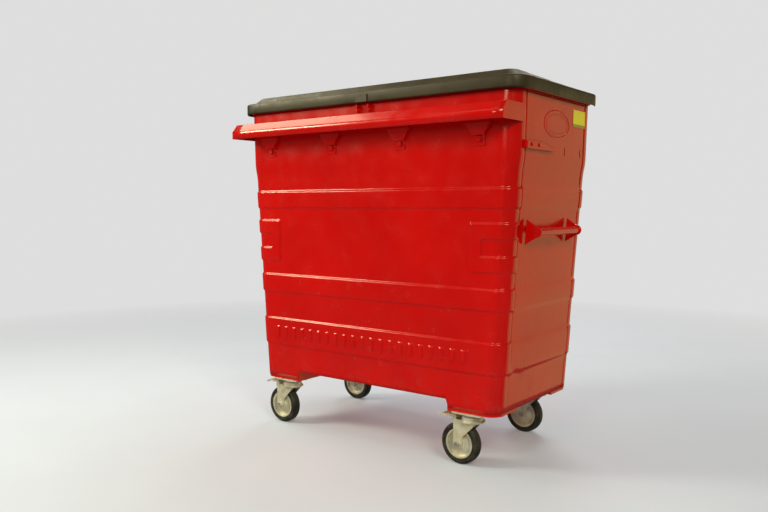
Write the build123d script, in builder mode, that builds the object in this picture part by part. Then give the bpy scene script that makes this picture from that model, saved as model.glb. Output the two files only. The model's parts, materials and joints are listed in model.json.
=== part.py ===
"""Four-wheeled waste container: pressed steel body, plastic lid, comb bar and swivel castors.

Millimetres, +Z up, +X to the right of someone facing the front, which looks along -Y.
The origin lies on the ground under the middle of the whole container.
"""
from build123d import *
from math import atan, cos, degrees, radians, sin
import os

os.makedirs("parts", exist_ok=True)

# Castors
wheel_radius = 75.0
tyre_width = 40.0
tyre_depth = 21.0
rim_inset = 2.0
hub_proud = 1.0
hub_radius = 18.0
bush_radius = 12.0
axle_radius = 6.0
trail = 46.0
wheel_clear = 9.1
fork_wall = 4.0
fork_clear = 5.0
head_height = 16.0
race_radius = 38.0
race_height = 4.6
race_gap = 0.3
kingpin_radius = 8.0
cup_depth = 6.0
plate_length = 124.0
plate_width = 100.0
plate_wall = 5.0
plate_bolt_x = 92.0
plate_bolt_y = 60.0
bolt_radius = 4.0
nut_radius = 7.5

# Body: the feet stand on the castors, and every height below the rim follows them
foot_height = (2 * wheel_radius + wheel_clear + fork_wall + head_height + race_gap + race_height
               + cup_depth + plate_wall)
body_width = 1260.0
body_depth = 620.0
body_height = 1117.0
rim_height = foot_height + body_height
skirt_rise = 40.0
skirt_height = foot_height + skirt_rise
corner_rise = 10.0
corner_low = foot_height + corner_rise
foot_span = 270.0
arch_half = body_width / 2 - foot_span
side_setback = 63.0
front_setback = 8.0
rear_setback = 23.0
corner_radius = 55.0
sheet = 2.0

# Pressed bands that stand proud of the panels, given by their edges' rise above the feet
shoulder_drop = 227.0
shoulder_height = rim_height - shoulder_drop
shoulder_share = 0.10
shoulder_blend = 60.0
band_rises = ((145.0, 255.0), (365.0, 438.0), (713.0, 780.0))
bands = [(foot_height + low, foot_height + high) for low, high in band_rises]
press_depth = 5.0
ledge = 6.0

# Raised corner pads of the front panel, each with a sunk window
pad_reach = 175.0
pad_inner_x = body_width / 2 - pad_reach
pad_rise = 495.0
pad_height = 167.0
pad_low = foot_height + pad_rise
pad_high = pad_low + pad_height
window_reach = 132.0
window_inner_x = body_width / 2 - window_reach
window_height = 59.0
window_low = pad_low + (pad_height - window_height) / 2
window_high = window_low + window_height

# Oval badge and slots in the side panels
oval_length = 212.0
oval_height = 100.0
oval_line = 7.0
oval_proud = 2.0
oval_drop = 109.0
oval_z = rim_height - oval_drop
slot_height = 31.0
slot_width = 6.0
slot_drop = 202.0
slot_z = rim_height - slot_drop
slot_y = (70.0, 207.0)

# Rim
rim_flange = 8.0
rim_bead = 12.0

# Comb bar
bar_reach = 90.0
bar_drop = 62.0
bar_top = rim_height - bar_drop
bar_slope = 29.0
bar_crease = bar_top - bar_slope
bar_lip = 30.0
bar_bottom = bar_crease - bar_lip
bar_chamfer = 24.0
bar_wall = 3.0
bar_overhang = 2.0
bar_bend_share = 0.41
bracket_end = 138.0
bracket_outer = body_width / 2 - bracket_end
bracket_x = (-bracket_outer, -bracket_outer / 3, bracket_outer / 3, bracket_outer)
bracket_top_width = 96.0
bracket_top_reach = 20.0
bracket_rise = 20.0
bracket_tab_width = 44.0
bracket_drop = 41.0
bracket_waist = bar_bottom - bracket_drop
bracket_tab = 34.0
bracket_foot = bracket_waist - bracket_tab
bracket_wall = 3.0
bracket_waist_reach = 14.0

# Lid
lid_overhang_side = 25.0
lid_overhang_end = 20.0
lid_wall = 5.0
deck_rise = 28.0
lid_deck = rim_height + deck_rise
skirt_depth = 44.0
lid_skirt_low = lid_deck - skirt_depth
rear_skirt_depth = 24.0
lid_rear_skirt_low = lid_deck - rear_skirt_depth
lid_corner = 66.0
dome_base_inset = 28.0
dome_top_inset = 54.0
dome_front_rise = 28.0
dome_front = lid_deck + dome_front_rise
dome_rear_rise = 16.0
dome_rear = lid_deck + dome_rear_rise
dome_corner = 20.0
lid_edge_round = 8.0
rib_wall = 4.0
rib_inset = 23.0
seat_gap = 0.3

# Lid hinge
hinge_reach = 45.0
hinge_rise = 18.0
hinge_height = rim_height + hinge_rise
hinge_eye = 16.0
rod_radius = 6.0
running_gap = 0.05
fixed_gap = 0.1
knuckle_end = 60.0
knuckle_outer = body_width / 2 - knuckle_end
knuckle_x = (-knuckle_outer, -knuckle_outer / 3, knuckle_outer / 3, knuckle_outer)
knuckle_width = 30.0
hinge_plate = 8.0

# Grab rails and front lugs on the sides
rail_radius = 13.0
rail_wall = 2.5
rail_proud = 42.0
rail_eye = 5.0
rail_rise = 632.0
rail_z = foot_height + rail_rise
rail_front_y = -195.0
rail_rear_y = 137.0
rail_bracket_height = 88.0
rail_bracket_wall = 6.0
lug_drop = 192.0
lug_z = rim_height - lug_drop
lug_height = 29.0
lug_front_inset = 58.0
lug_front_y = lug_front_inset - body_depth / 2
lug_block = 122.0
lug_tail = 92.0
lug_proud = 15.0

# Feet and floor
foot_length_y = 150.0
foot_wall = 3.0
floor_rise = 48.0
floor_height = foot_height + floor_rise
floor_sheet = 3.0
plug_radius = 30.0
plug_flange = 5.0
plug_grip_length = 50.0
plug_grip_width = 10.0
castor_side_inset = 190.0
castor_x = body_width / 2 - castor_side_inset
castor_front_inset = 58.0
castor_front_y = castor_front_inset - body_depth / 2
castor_rear_inset = 74.0
castor_rear_y = body_depth / 2 - castor_rear_inset

# The comb bar stands out at the front and the hinge at the back, so the body sits off centre
front_reach = body_depth / 2 + bar_reach
rear_reach = body_depth / 2 + hinge_reach + hinge_eye
y0 = (front_reach - rear_reach) / 2


def setback_share(z):
    """Share of the full setback at a height: slight above the shoulder, even below it."""
    if z >= shoulder_height:
        return shoulder_share * (rim_height - z) / (rim_height - shoulder_height)
    below = (shoulder_height - z) / (shoulder_height - skirt_height)
    return shoulder_share + (1 - shoulder_share) * below


def half_width(z):
    return body_width / 2 - side_setback * setback_share(z)


def front_y(z):
    return y0 - body_depth / 2 + front_setback * setback_share(z)


def rear_y(z):
    return y0 + body_depth / 2 - rear_setback * setback_share(z)


def body_section(z, inset):
    """Rounded rectangle of the body at one height, drawn in the current sketch."""
    middle = (front_y(z) + rear_y(z)) / 2
    with Locations((0, middle)):
        RectangleRounded(2 * (half_width(z) - inset), rear_y(z) - front_y(z) - 2 * inset,
                         corner_radius - inset)


# Heights of the pressed profile from the foot to the rim, each with its inset
profile = [(corner_low, press_depth)]
for low, high in bands:
    profile += [(low, press_depth), (low + ledge, 0), (high - ledge, 0), (high, press_depth)]
profile += [(shoulder_height - shoulder_blend, press_depth), (shoulder_height, 0), (rim_height, 0)]
plain_profile = [(corner_low, 0), (shoulder_height, 0), (rim_height, 0)]


def body_form(heights, extra):
    """Solid of the body's outline, with every inset deepened by the same amount."""
    with BuildPart() as form:
        for z, inset in heights:
            with BuildSketch(Plane.XY.offset(z)):
                body_section(z, inset + extra)
        loft(ruled=True)
    return form.part


outer_form = body_form(profile, 0)
inner_form = body_form(profile, sheet)
pad_front_form = body_form(plain_profile, 0)
pad_back_form = body_form(plain_profile, sheet)
base_front_form = body_form(plain_profile, press_depth)
base_back_form = body_form(plain_profile, press_depth + sheet)

wide = body_width + 400
front_seam = y0 - body_depth / 2 + corner_radius + 12
rear_seam = y0 + body_depth / 2 - corner_radius - 12

# The lower edge of the front and the rear is arched up between the corners
with BuildPart() as shell:
    add(outer_form)
    add(inner_form, mode=Mode.SUBTRACT)
    with Locations((0, y0, corner_low - 1)):
        Box(2 * arch_half, 2 * body_depth, skirt_height - corner_low + 1,
            align=(Align.CENTER, Align.CENTER, Align.MIN), mode=Mode.SUBTRACT)

# Lean of the side walls above the shoulder
top_fall = side_setback * shoulder_share / (rim_height - shoulder_height)
top_lean = degrees(atan(top_fall))


def side_plane(side, y, z, lean):
    """Plane lying on the outside of a side panel, its local x along the wall and its y up."""
    normal = Vector(side * cos(radians(lean)), 0, -sin(radians(lean)))
    return Plane(origin=(side * half_width(z), y, z), x_dir=(0, side, 0), z_dir=normal)


def finish(piece, name):
    """Name a sub-part and write its file."""
    piece.part.label = name
    export_step(piece.part, f"parts/{name}.step")


# ---------------------------------------------------------------- body panels
def corner_block(inner_x, low, high, side, shrink):
    """Block over one corner of the front, from an inner edge round to the corner seam."""
    near = inner_x + shrink
    far = wide / 2
    with BuildPart() as block:
        with BuildSketch(Plane.XY.offset(low + shrink)):
            with Locations((side * (near + far) / 2, front_seam - shrink - wide / 4)):
                Rectangle(far - near, wide / 2)
        extrude(amount=high - low - 2 * shrink)
    return block.part


def corner_pad(side):
    """One raised pad: a proud tray whose sunk window lies level with the panel."""
    with BuildPart() as hollow:
        add(pad_back_form)
        add(base_back_form, mode=Mode.SUBTRACT)
        add(corner_block(pad_inner_x, pad_low, pad_high, side, sheet), mode=Mode.INTERSECT)
        add(corner_block(window_inner_x, window_low, window_high, side, -sheet),
            mode=Mode.SUBTRACT)
    with BuildPart() as window:
        add(pad_front_form)
        add(base_front_form, mode=Mode.SUBTRACT)
        add(corner_block(window_inner_x, window_low, window_high, side, 0), mode=Mode.INTERSECT)
    with BuildPart() as pad:
        add(pad_front_form)
        add(base_back_form, mode=Mode.SUBTRACT)
        add(corner_block(pad_inner_x, pad_low, pad_high, side, 0), mode=Mode.INTERSECT)
        add(hollow.part, mode=Mode.SUBTRACT)
        add(window.part, mode=Mode.SUBTRACT)
    return pad.part


with BuildPart() as front_panel:
    add(shell.part)
    with Locations((0, front_seam, 0)):
        Box(wide, wide, 4 * rim_height, align=(Align.CENTER, Align.MIN, Align.CENTER),
            mode=Mode.SUBTRACT)
    for side in (-1, 1):
        add(corner_block(pad_inner_x, pad_low, pad_high, side, 0), mode=Mode.SUBTRACT)
    for side in (-1, 1):
        add(corner_pad(side))
finish(front_panel, "front_panel")

with BuildPart() as rear_panel:
    add(shell.part)
    with Locations((0, rear_seam, 0)):
        Box(wide, wide, 4 * rim_height, align=(Align.CENTER, Align.MAX, Align.CENTER),
            mode=Mode.SUBTRACT)
finish(rear_panel, "rear_panel")

for side, hand in ((-1, "left"), (1, "right")):
    with BuildPart() as side_panel:
        add(shell.part)
        with Locations((0, (front_seam + rear_seam) / 2, 0)):
            Box(wide, rear_seam - front_seam, 4 * rim_height, mode=Mode.INTERSECT)
        with Locations((-side * wide / 2, 0, 0)):
            Box(wide, wide, 4 * rim_height, mode=Mode.SUBTRACT)
        with BuildSketch(side_plane(side, y0, oval_z, top_lean)):
            Ellipse(oval_length / 2, oval_height / 2)
            Ellipse(oval_length / 2 - oval_line, oval_height / 2 - oval_line, mode=Mode.SUBTRACT)
        extrude(amount=oval_proud, both=False)
        for y in slot_y:
            with BuildSketch(side_plane(side, y0 + y, slot_z, top_lean)):
                SlotOverall(slot_height, slot_width, rotation=90)
            extrude(amount=2 * sheet, both=True, mode=Mode.SUBTRACT)
    finish(side_panel, f"side_panel_{hand}")

with BuildPart() as floor_panel:
    with BuildSketch(Plane.XY.offset(floor_height)):
        with Locations((0, y0)):
            Rectangle(wide, wide)
        with Locations((0, y0)):
            Circle(plug_radius, mode=Mode.SUBTRACT)
    extrude(amount=floor_sheet)
    add(inner_form, mode=Mode.INTERSECT)
finish(floor_panel, "floor_panel")

with BuildPart() as drain_plug:
    with BuildSketch(Plane.XY.offset(floor_height - plug_flange)):
        with Locations((0, y0)):
            Circle(plug_radius + 2 * plug_flange)
    extrude(amount=plug_flange)
    with BuildSketch(Plane.XY.offset(floor_height)):
        with Locations((0, y0)):
            Circle(plug_radius - fixed_gap)
    extrude(amount=floor_sheet)
    with BuildSketch(Plane.XY.offset(floor_height - plug_flange)):
        with Locations((0, y0)):
            SlotOverall(plug_grip_length, plug_grip_width)
    extrude(amount=-plug_grip_width)
finish(drain_plug, "drain_plug")

with BuildPart() as rim_frame:
    with BuildSketch(Plane.XY.offset(rim_height - rim_bead)):
        body_section(rim_height, -rim_flange)
    extrude(amount=rim_bead)
    add(outer_form, mode=Mode.SUBTRACT)
finish(rim_frame, "rim_frame")

# ---------------------------------------------------------------- comb bar
bar_front = y0 - front_reach
bar_half = half_width(bar_top) + bar_overhang


def bar_face(x, thickness):
    """Bent section of the bar at one x: top, sloped crease and front lip, open at the bottom."""
    wall = front_y(bar_bottom) + corner_radius
    bend = bar_bend_share * thickness
    with BuildSketch(Plane.YZ.offset(x)) as face:
        with BuildLine():
            Polyline(
                (wall, bar_top - thickness),
                (bar_front + bar_chamfer + bend, bar_top - thickness),
                (bar_front + thickness, bar_crease - bend),
                (bar_front + thickness, bar_bottom - thickness),
                (wall, bar_bottom - thickness),
                close=True,
            )
        make_face()
    return face.sketch


with BuildPart() as comb_bar:
    extrude(bar_face(-bar_half + bar_wall, 0), amount=2 * (bar_half - bar_wall))
    extrude(bar_face(-bar_half, bar_wall), amount=2 * bar_half, mode=Mode.SUBTRACT)
    add(outer_form, mode=Mode.SUBTRACT)
finish(comb_bar, "comb_bar")

with BuildPart() as comb_bar_ends:
    for x in (-bar_half, bar_half - bar_wall):
        extrude(bar_face(x, 0), amount=bar_wall)
    add(outer_form, mode=Mode.SUBTRACT)
finish(comb_bar_ends, "comb_bar_ends")


def bracket_face(x, z, width, reach):
    """Cut through a comb bar bracket at one height, starting behind the wall's face."""
    with BuildSketch(Plane.XY.offset(z)) as face:
        with Locations((x, front_y(z) + sheet)):
            Rectangle(width, reach + sheet, align=(Align.CENTER, Align.MAX))
    return face.sketch


with BuildPart() as comb_brackets:
    for x in bracket_x:
        top = bracket_face(x, bar_bottom, bracket_top_width, bracket_top_reach)
        waist = bracket_face(x, bracket_waist, bracket_tab_width, bracket_waist_reach)
        loft([waist, top], ruled=True)
        tab = bracket_face(x, bracket_foot, bracket_tab_width, bracket_wall)
        extrude(tab, amount=bracket_waist - bracket_foot)
        extrude(top, amount=bracket_rise)
        inner_top = bracket_face(x, bar_bottom, bracket_top_width - 2 * bracket_wall,
                                 bracket_top_reach - bracket_wall)
        inner_waist = bracket_face(x, bracket_waist + bracket_wall,
                                   bracket_tab_width - 2 * bracket_wall,
                                   bracket_waist_reach - bracket_wall)
        loft([inner_waist, inner_top], ruled=True, mode=Mode.SUBTRACT)
        extrude(inner_top, amount=bracket_rise, mode=Mode.SUBTRACT)
    add(outer_form, mode=Mode.SUBTRACT)
finish(comb_brackets, "comb_brackets")

# ---------------------------------------------------------------- front strikers
striker_gap = 27.0
striker_width = 6.0
striker_rise = 12.0
striker_low = bar_top + striker_rise
striker_height = 29.0
striker_high = striker_low + striker_height
striker_proud = 17.0
striker_hole = 4.0
striker_hole_rise = 12.0
striker_hole_y = front_y(striker_high) - striker_proud / 2 - 2
with BuildPart() as striker_lugs:
    for side in (-1, 1):
        with Locations((side * striker_gap, front_y(striker_high) + sheet, striker_low)):
            Box(striker_width, striker_proud + sheet, striker_high - striker_low,
                align=(Align.CENTER, Align.MAX, Align.MIN))
    with Locations((0, striker_hole_y, striker_low + striker_hole_rise)):
        Cylinder(striker_hole, 2 * striker_gap + striker_width, rotation=(0, 90, 0),
                 mode=Mode.SUBTRACT)
    add(outer_form, mode=Mode.SUBTRACT)
finish(striker_lugs, "striker_lugs")

# ---------------------------------------------------------------- grab rails
rail_length = rail_rear_y - rail_front_y
for side, hand in ((-1, "left"), (1, "right")):
    rail_x = side * (half_width(rail_z) + rail_proud)
    with BuildPart() as grab_rail:
        with BuildSketch(Plane.XZ.offset(-(y0 + rail_front_y + rail_bracket_wall))):
            with Locations((rail_x, rail_z)):
                Circle(rail_radius)
                Circle(rail_radius - rail_wall, mode=Mode.SUBTRACT)
        extrude(amount=-(rail_length - 2 * rail_bracket_wall))
    finish(grab_rail, f"grab_rail_{hand}")

    with BuildPart() as rail_brackets:
        for y in (rail_front_y, rail_rear_y - rail_bracket_wall):
            low = rail_z - rail_bracket_height / 2
            high = rail_z + rail_bracket_height / 2
            with BuildSketch(Plane.XZ.offset(-(y0 + y))):
                with BuildLine():
                    Polyline(
                        (side * half_width(low), low),
                        (rail_x, rail_z - rail_radius - rail_eye),
                        (rail_x, rail_z + rail_radius + rail_eye),
                        (side * half_width(high), high),
                        close=True,
                    )
                make_face()
                with Locations((rail_x, rail_z)):
                    Circle(rail_radius + rail_eye)
            extrude(amount=-rail_bracket_wall)
    finish(rail_brackets, f"rail_brackets_{hand}")

    # Front lug: a thick block near the corner that thins out towards the back
    with BuildPart() as side_lug:
        with BuildSketch(side_plane(side, y0, lug_z, top_lean)):
            with BuildLine():
                Polyline(
                    (side * lug_front_y, -lug_height / 2),
                    (side * lug_front_y, lug_height / 2),
                    (side * (lug_front_y + lug_block), lug_height / 2),
                    (side * (lug_front_y + lug_block + lug_tail), -lug_height / 4),
                    (side * (lug_front_y + lug_block + lug_tail), -lug_height / 2),
                    close=True,
                )
            make_face()
        extrude(amount=lug_proud)
    finish(side_lug, f"side_lug_{hand}")

bolt_z = bracket_waist - 12
bolt_head = 11.0
bolt_head_height = 6.0
lug_bolt_radius = 7.0
with BuildPart() as body_bolts:
    for x in bracket_x:
        seat = front_y(bolt_z) - bracket_wall
        with BuildSketch(Plane.XZ.offset(-seat)):
            with Locations((x, bolt_z)):
                RegularPolygon(bolt_head, 6)
        extrude(amount=bolt_head_height)
    for side in (-1, 1):
        for share in (0.28, 0.72):
            y = y0 + lug_front_y + share * lug_block
            with BuildSketch(side_plane(side, y, lug_z, top_lean).offset(lug_proud)):
                RegularPolygon(lug_bolt_radius, 6)
            extrude(amount=4)
finish(body_bolts, "body_bolts")

label_length = 106.0
label_height = 62.0
label_y = 188.0
label_drop = 74.0
label_z = rim_height - label_drop
label_film = 0.6
with BuildPart() as rating_label:
    with BuildSketch(side_plane(1, y0 + label_y, label_z, top_lean)):
        Rectangle(label_length, label_height)
    extrude(amount=label_film)
finish(rating_label, "rating_label")

# ---------------------------------------------------------------- lid
lid_half = body_width / 2 + lid_overhang_side
lid_front = y0 - body_depth / 2 - lid_overhang_end
lid_rear = y0 + body_depth / 2 + lid_overhang_end


def lid_face(z, inset):
    """Rounded rectangle of the lid at one height."""
    with BuildSketch(Plane.XY.offset(z)) as face:
        with Locations((0, (lid_front + lid_rear) / 2)):
            RectangleRounded(2 * (lid_half - inset), lid_rear - lid_front - 2 * inset,
                             lid_corner - inset)
    return face.sketch


def dome_face(drop, inset):
    """Sloping top of the dome, a little lower at the rear."""
    run = lid_rear - lid_front - 2 * inset
    tilt = degrees(atan((dome_front - dome_rear) / run))
    middle = Vector(0, (lid_front + lid_rear) / 2, (dome_front + dome_rear) / 2 - drop)
    sloped = Plane(origin=middle, x_dir=(1, 0, 0), z_dir=(0, 0, 1)).rotated((-tilt, 0, 0))
    with BuildSketch(sloped) as face:
        RectangleRounded(2 * (lid_half - inset), run, lid_corner - inset + dome_corner)
    return face.sketch


with BuildPart() as lid_dome_outer:
    loft([lid_face(lid_deck - 1, dome_base_inset), dome_face(0, dome_top_inset)], ruled=True)
with BuildPart() as lid_dome_inner:
    loft([lid_face(lid_deck - lid_wall - 1, dome_base_inset + lid_wall),
          dome_face(lid_wall, dome_top_inset + lid_wall)], ruled=True)

with BuildPart() as lid:
    extrude(lid_face(lid_skirt_low, 0), amount=lid_deck - lid_skirt_low)
    rounded = lid.edges().filter_by(Plane.XY).group_by(Axis.Z)[-1]
    fillet(rounded, lid_edge_round)
    extrude(lid_face(lid_skirt_low, lid_wall), amount=lid_deck - lid_wall - lid_skirt_low,
            mode=Mode.SUBTRACT)
    extrude(lid_face(rim_height + seat_gap, rib_inset - rib_wall),
            amount=lid_deck - lid_wall - rim_height - seat_gap)
    extrude(lid_face(rim_height + seat_gap, rib_inset),
            amount=lid_deck - lid_wall - rim_height - seat_gap, mode=Mode.SUBTRACT)
    add(lid_dome_outer.part)
    add(lid_dome_inner.part, mode=Mode.SUBTRACT)
    with Locations((0, lid_rear, lid_skirt_low - 1)):
        Box(2 * (knuckle_x[-1] + knuckle_width), 4 * lid_wall, lid_rear_skirt_low - lid_skirt_low + 1,
            align=(Align.CENTER, Align.CENTER, Align.MIN), mode=Mode.SUBTRACT)
finish(lid, "lid")

hinge_y = y0 + body_depth / 2 + hinge_reach
with BuildPart() as lid_knuckles:
    for x in knuckle_x:
        with BuildSketch(Plane.YZ.offset(x - knuckle_width / 2)) as face:
            with Locations((hinge_y, hinge_height)):
                Circle(hinge_eye)
            with BuildLine():
                Polyline(
                    (lid_rear, lid_rear_skirt_low + 2),
                    (hinge_y - 6, lid_rear_skirt_low),
                    (hinge_y, hinge_height + hinge_eye),
                    (lid_rear, hinge_height + 2),
                    close=True,
                )
            make_face()
            with Locations((hinge_y, hinge_height)):
                Circle(rod_radius + running_gap, mode=Mode.SUBTRACT)
        extrude(amount=knuckle_width)
finish(lid_knuckles, "lid_knuckles")

hinge_side_gap = 1.0
arm_depth = 50.0
arm_foot = rim_height - arm_depth
rim_face = y0 + body_depth / 2 + rim_flange
with BuildPart() as hinge_brackets:
    for x in knuckle_x:
        for side in (-1, 1):
            start = x + side * (knuckle_width / 2 + hinge_side_gap + hinge_plate / 2)
            with BuildSketch(Plane.YZ.offset(start - hinge_plate / 2)):
                with Locations((hinge_y, hinge_height)):
                    Circle(hinge_eye)
                with BuildLine():
                    Polyline(
                        (rim_face - 40, arm_foot),
                        (rim_face - 6, arm_foot),
                        (rim_face + 18, rim_height - rim_bead),
                        (hinge_y - 8, rim_height - 4),
                        (hinge_y, hinge_height),
                        (hinge_y - hinge_eye, hinge_height),
                        (hinge_y - 18, rim_height - 1),
                        (rim_face - 40, rim_height - 1),
                        close=True,
                    )
                make_face()
                with Locations((hinge_y, hinge_height)):
                    Circle(rod_radius + fixed_gap, mode=Mode.SUBTRACT)
            extrude(amount=hinge_plate)
    add(outer_form, mode=Mode.SUBTRACT)
    add(rim_frame.part, mode=Mode.SUBTRACT)
    with Locations((0, y0 - 40, 1250)):
        Box(wide, body_depth, 200, mode=Mode.SUBTRACT)
finish(hinge_brackets, "hinge_brackets")

rod_half = knuckle_x[-1] + knuckle_width / 2 + hinge_plate + 8
with BuildPart() as hinge_rod:
    with BuildSketch(Plane.YZ.offset(-rod_half)):
        with Locations((hinge_y, hinge_height)):
            Circle(rod_radius)
    extrude(amount=2 * rod_half)
finish(hinge_rod, "hinge_rod")

cap_length = 8.0
cap_radius = 10.0
with BuildPart() as rod_caps:
    for side in (-1, 1):
        with BuildSketch(Plane.YZ.offset(side * rod_half)):
            with Locations((hinge_y, hinge_height)):
                Circle(cap_radius)
        extrude(amount=side * cap_length)
finish(rod_caps, "rod_caps")

tongue_width = 54.0
tongue_rise = 2.0
tongue_low = lid_skirt_low + tongue_rise
tongue_wall = 4.0
tongue_height = 28.0
tongue_high = tongue_low + tongue_height
with BuildPart() as lid_tongue:
    with Locations((0, lid_front, tongue_low)):
        Box(tongue_width, tongue_wall, tongue_high - tongue_low,
            align=(Align.CENTER, Align.MAX, Align.MIN))
finish(lid_tongue, "lid_tongue")

# ---------------------------------------------------------------- feet and floor channels
corners = (("front_left", -1, -1), ("front_right", 1, -1), ("rear_left", -1, 1), ("rear_right", 1, 1))
foot_inset = press_depth + sheet + fixed_gap
foot_outer_x = half_width(corner_low) - foot_inset
foot_front = front_y(corner_low) + foot_inset
foot_rear = rear_y(corner_low) - foot_inset


def foot_face(z, sx, sy, inset):
    """Outline of a corner foot: square inside, rounded at the corner of the body."""
    edge_y = foot_front if sy < 0 else foot_rear
    with BuildSketch(Plane.XY.offset(z)) as face:
        with Locations((sx * (arch_half + foot_outer_x) / 2, edge_y - sy * foot_length_y / 2)):
            Rectangle(foot_outer_x - arch_half - 2 * inset, foot_length_y - 2 * inset)
        outer_corner = face.vertices().sort_by(Axis((0, 0, 0), (sx, sy, 0)))[-1]
        fillet(outer_corner, corner_radius - foot_inset - inset)
    return face.sketch


def castor_spot(sx, sy):
    """Swivel axis of the castor in one corner."""
    return (sx * castor_x, y0 + (castor_front_y if sy < 0 else castor_rear_y))


bolt_spots = [(x, y) for x in (-plate_bolt_x / 2, plate_bolt_x / 2)
              for y in (-plate_bolt_y / 2, plate_bolt_y / 2)]
for name, sx, sy in corners:
    with BuildPart() as corner_foot:
        extrude(foot_face(foot_height, sx, sy, 0), amount=floor_height - foot_height)
        extrude(foot_face(foot_height + foot_wall, sx, sy, foot_wall),
                amount=floor_height - foot_height, mode=Mode.SUBTRACT)
        with BuildSketch(Plane.XY.offset(foot_height)):
            with Locations(castor_spot(sx, sy)):
                with Locations(bolt_spots):
                    Circle(bolt_radius + 0.5)
        extrude(amount=foot_wall, mode=Mode.SUBTRACT)
    finish(corner_foot, f"foot_{name}")

channel_width = 100.0
channel_drop = 36.0
channel_wall = 3.0
channel_run = foot_rear - foot_front - 2 * foot_length_y
with BuildPart() as floor_channels:
    for side in (-1, 1):
        with BuildSketch(Plane.XZ.offset(-(foot_front + foot_length_y))):
            with Locations((side * castor_x, floor_height - channel_drop)):
                Rectangle(channel_width, channel_drop, align=(Align.CENTER, Align.MIN))
            with Locations((side * castor_x, floor_height - channel_drop + channel_wall)):
                Rectangle(channel_width - 2 * channel_wall, channel_drop,
                          align=(Align.CENTER, Align.MIN), mode=Mode.SUBTRACT)
        extrude(amount=-channel_run)
finish(floor_channels, "floor_channels")

# ---------------------------------------------------------------- castors
plate_bottom = foot_height - plate_wall
cup_bottom = plate_bottom - cup_depth
race_bottom = cup_bottom - race_height
head_top = race_bottom - race_gap
crown_top = head_top - head_height
crown_bottom = crown_top - fork_wall
leg_inner = tyre_width / 2 + fork_clear
leg_outer = leg_inner + fork_wall
hub_half = tyre_width / 2 + hub_proud
rim_half = tyre_width / 2 - rim_inset
castor_spots = [castor_spot(sx, sy) for _, sx, sy in corners]

pedal_pin_back = 58.0
pedal_pin_z = crown_top + 9
pedal_pin_radius = 4.0
pedal_pin_end = 6.0
pedal_half = 24.0
pedal_ear = 4.0

with BuildPart() as castor_bolts:
    for cx, cy in castor_spots:
        with BuildSketch(Plane.XY.offset(plate_bottom - 6)):
            with Locations((cx, cy)):
                with Locations(bolt_spots):
                    RegularPolygon(nut_radius, 6)
        extrude(amount=6)
        with BuildSketch(Plane.XY.offset(plate_bottom)):
            with Locations((cx, cy)):
                with Locations(bolt_spots):
                    Circle(bolt_radius)
        extrude(amount=plate_wall + foot_wall + 12)
        with BuildSketch(Plane.XY.offset(foot_height + foot_wall)):
            with Locations((cx, cy)):
                with Locations(bolt_spots):
                    RegularPolygon(nut_radius, 6)
        extrude(amount=8)
finish(castor_bolts, "castor_bolts")

with BuildPart() as kingpins:
    for cx, cy in castor_spots:
        with BuildSketch(Plane.XY.offset(crown_bottom - 7)):
            with Locations((cx, cy)):
                Circle(kingpin_radius + 6)
        extrude(amount=7 - race_gap)
        with BuildSketch(Plane.XY.offset(crown_bottom - 7)):
            with Locations((cx, cy)):
                Circle(kingpin_radius)
        extrude(amount=foot_height - 0.5 - crown_bottom + 7)
finish(kingpins, "kingpins")

with BuildPart() as ball_races:
    for cx, cy in castor_spots:
        with BuildSketch(Plane.XY.offset(race_bottom)):
            with Locations((cx, cy)):
                Circle(race_radius - 5)
                Circle(kingpin_radius + 8, mode=Mode.SUBTRACT)
        extrude(amount=race_height)
finish(ball_races, "ball_races")

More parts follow.
